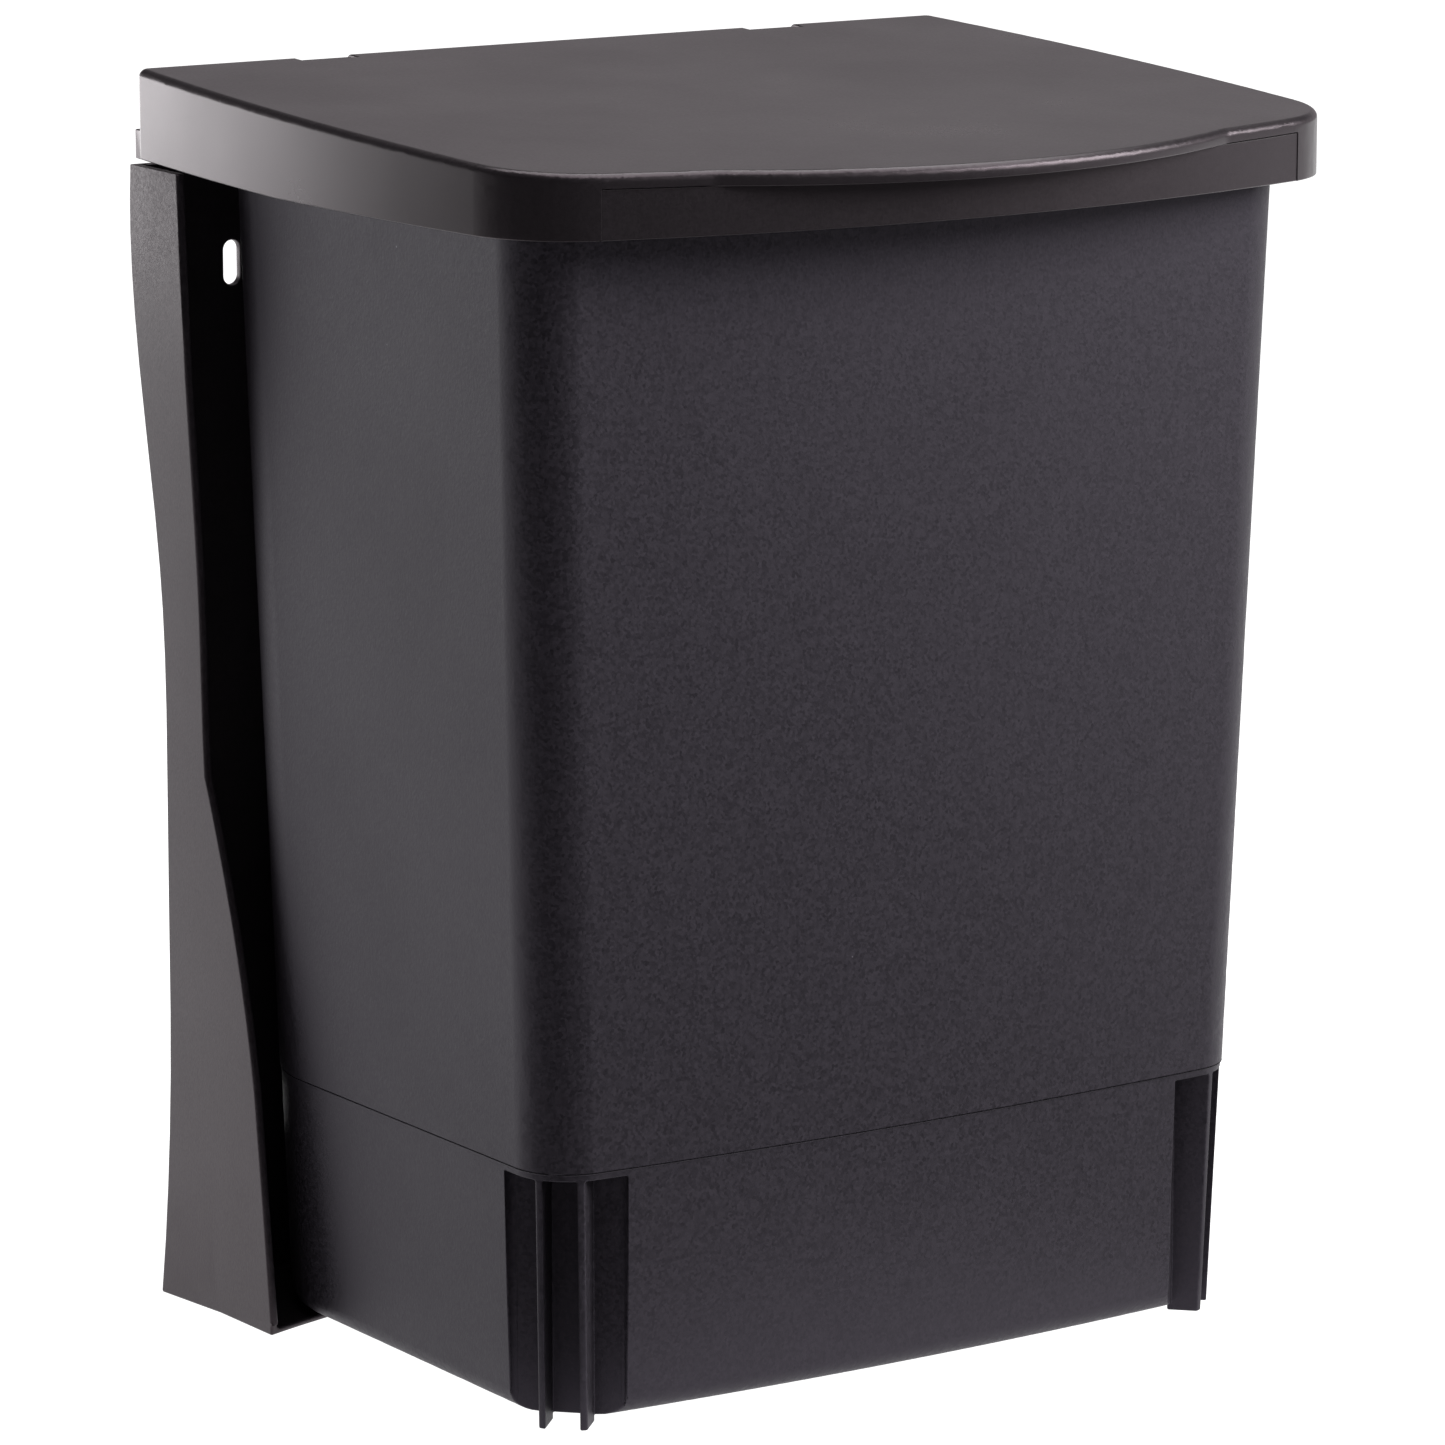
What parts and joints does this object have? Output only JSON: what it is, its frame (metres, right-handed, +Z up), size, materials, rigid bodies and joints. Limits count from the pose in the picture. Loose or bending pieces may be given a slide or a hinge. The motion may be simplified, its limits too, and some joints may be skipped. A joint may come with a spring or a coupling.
{
  "type": "built-in waste bin",
  "caption": "Door-mounted kitchen waste bin: a wall bracket with side flanges, a tapered lift-off bucket and a hinged lid with a thumb lip.",
  "frame": {"origin": "on the door plane (Y = 0), on the mirror plane (X = 0), at the bracket's foot (Z = 0)", "axes": "+Z up, -Y out of the door towards the user, +X to the right of someone who faces the bin"},
  "size_m": [0.2672, 0.2245, 0.3399],
  "materials": {
    "bracket_plastic": "satin moulded polypropylene, near black",
    "bucket_plastic": "finely grained moulded polypropylene, near black",
    "lid_plastic": "finely grained moulded polypropylene, near black",
    "pin_steel": "drawn steel wire"
  },
  "bodies": {
    "bracket": {"wall_bracket": "bracket_plastic", "hinge_pin_left": "pin_steel", "hinge_pin_right": "pin_steel"},
    "bucket": {"bucket": "bucket_plastic"},
    "lid": {"lid": "lid_plastic"}
  },
  "joints": [
    {"name": "lid_hinge", "type": "hinge", "parent": "bracket", "child": "lid", "pos_m": [0, -0.0055, 0.3355], "axis": [-1, 0, 0], "range_deg": [0, 90]},
    {"name": "bucket_lift", "type": "slide", "parent": "bracket", "child": "bucket", "axis": [0, 0, 1], "range_m": [0, 0.005]}
  ]
}
